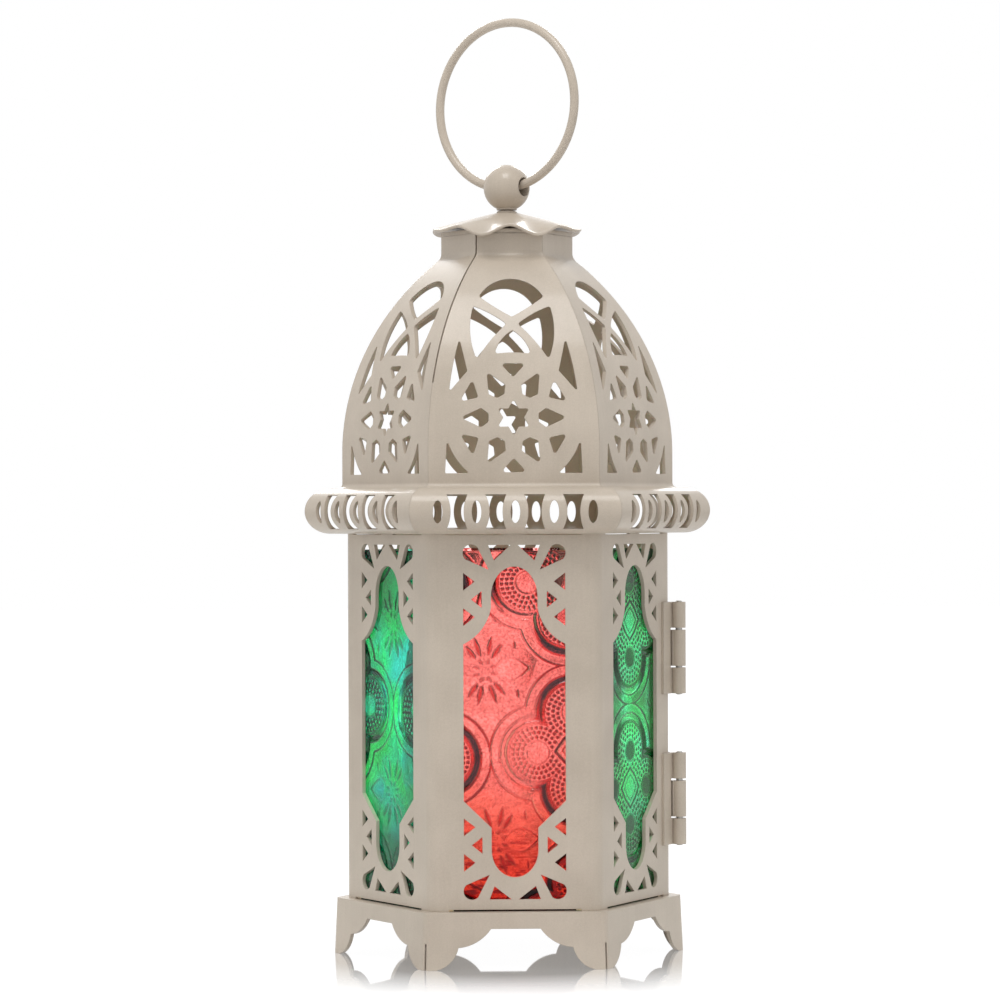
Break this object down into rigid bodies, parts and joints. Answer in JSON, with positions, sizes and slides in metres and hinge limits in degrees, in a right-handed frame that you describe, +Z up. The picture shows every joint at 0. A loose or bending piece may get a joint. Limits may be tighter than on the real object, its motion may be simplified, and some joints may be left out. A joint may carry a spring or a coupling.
{
  "type": "candle lantern",
  "caption": "Hexagonal tealight lantern of painted sheet metal with pierced dome, gallery band and windows, coloured pressed glass panes, hinged door, scalloped cap and ring handle.",
  "frame": {"origin": "centre of the footprint at floor level", "axes": "+Z up, the front wall faces -Y, two corners of the hexagon lie on X and the door hinges stand at the +X corner"},
  "size_m": [0.0958, 0.083, 0.2201],
  "materials": {
    "painted_metal": "satin taupe paint over pressed sheet",
    "bare_steel": "plain bright",
    "rose_glass": "pressed pattern, glossy",
    "aqua_glass": "pressed pattern, glossy",
    "leaf_glass": "pressed pattern, glossy"
  },
  "bodies": {
    "lantern": {"base_tray": "painted_metal", "body_shell": "painted_metal", "candle_cup": "bare_steel", "cap_collar": "painted_metal", "cap_spacer": "painted_metal", "dome_back": "painted_metal", "dome_back_left": "painted_metal", "dome_back_right": "painted_metal", "dome_front": "painted_metal", "dome_front_left": "painted_metal", "dome_front_right": "painted_metal", "door_stop": "painted_metal", "finial_stud": "bare_steel", "gallery_back": "painted_metal", "gallery_back_left": "painted_metal", "gallery_back_right": "painted_metal", "gallery_front": "painted_metal", "gallery_front_left": "painted_metal", "gallery_front_right": "painted_metal", "glass_back": "rose_glass", "glass_back_left": "aqua_glass", "glass_clips": "bare_steel", "glass_front": "rose_glass", "glass_front_left": "aqua_glass", "glass_front_right": "leaf_glass", "hinge_frame_leaf_lower": "painted_metal", "hinge_frame_leaf_upper": "painted_metal", "hinge_pin_lower": "bare_steel", "hinge_pin_upper": "bare_steel", "neck_cap": "painted_metal", "petal_cap": "painted_metal", "stud_nut": "bare_steel"},
    "door": {"door_panel": "painted_metal", "glass_door": "leaf_glass", "door_glass_clips": "bare_steel", "hinge_door_leaf_upper": "painted_metal", "hinge_door_leaf_lower": "painted_metal", "door_pull": "painted_metal"},
    "finial": {"ball_finial": "painted_metal"},
    "ring": {"ring_handle": "painted_metal"}
  },
  "joints": [
    {"name": "door_hinge", "type": "hinge", "parent": "lantern", "child": "door", "pos_m": [0.0404, 0, 0], "axis": [0, 0, -1], "range_deg": [0, 200]},
    {"name": "finial_swivel", "type": "hinge", "parent": "lantern", "child": "finial", "pos_m": [0, 0, 0.1801], "axis": [0, 0, 1], "continuous": true},
    {"name": "ring_swing", "type": "hinge", "parent": "finial", "child": "ring", "pos_m": [0, 0, 0.1801], "axis": [0.788, -0.6157, 0], "range_deg": [-128, 128]}
  ]
}
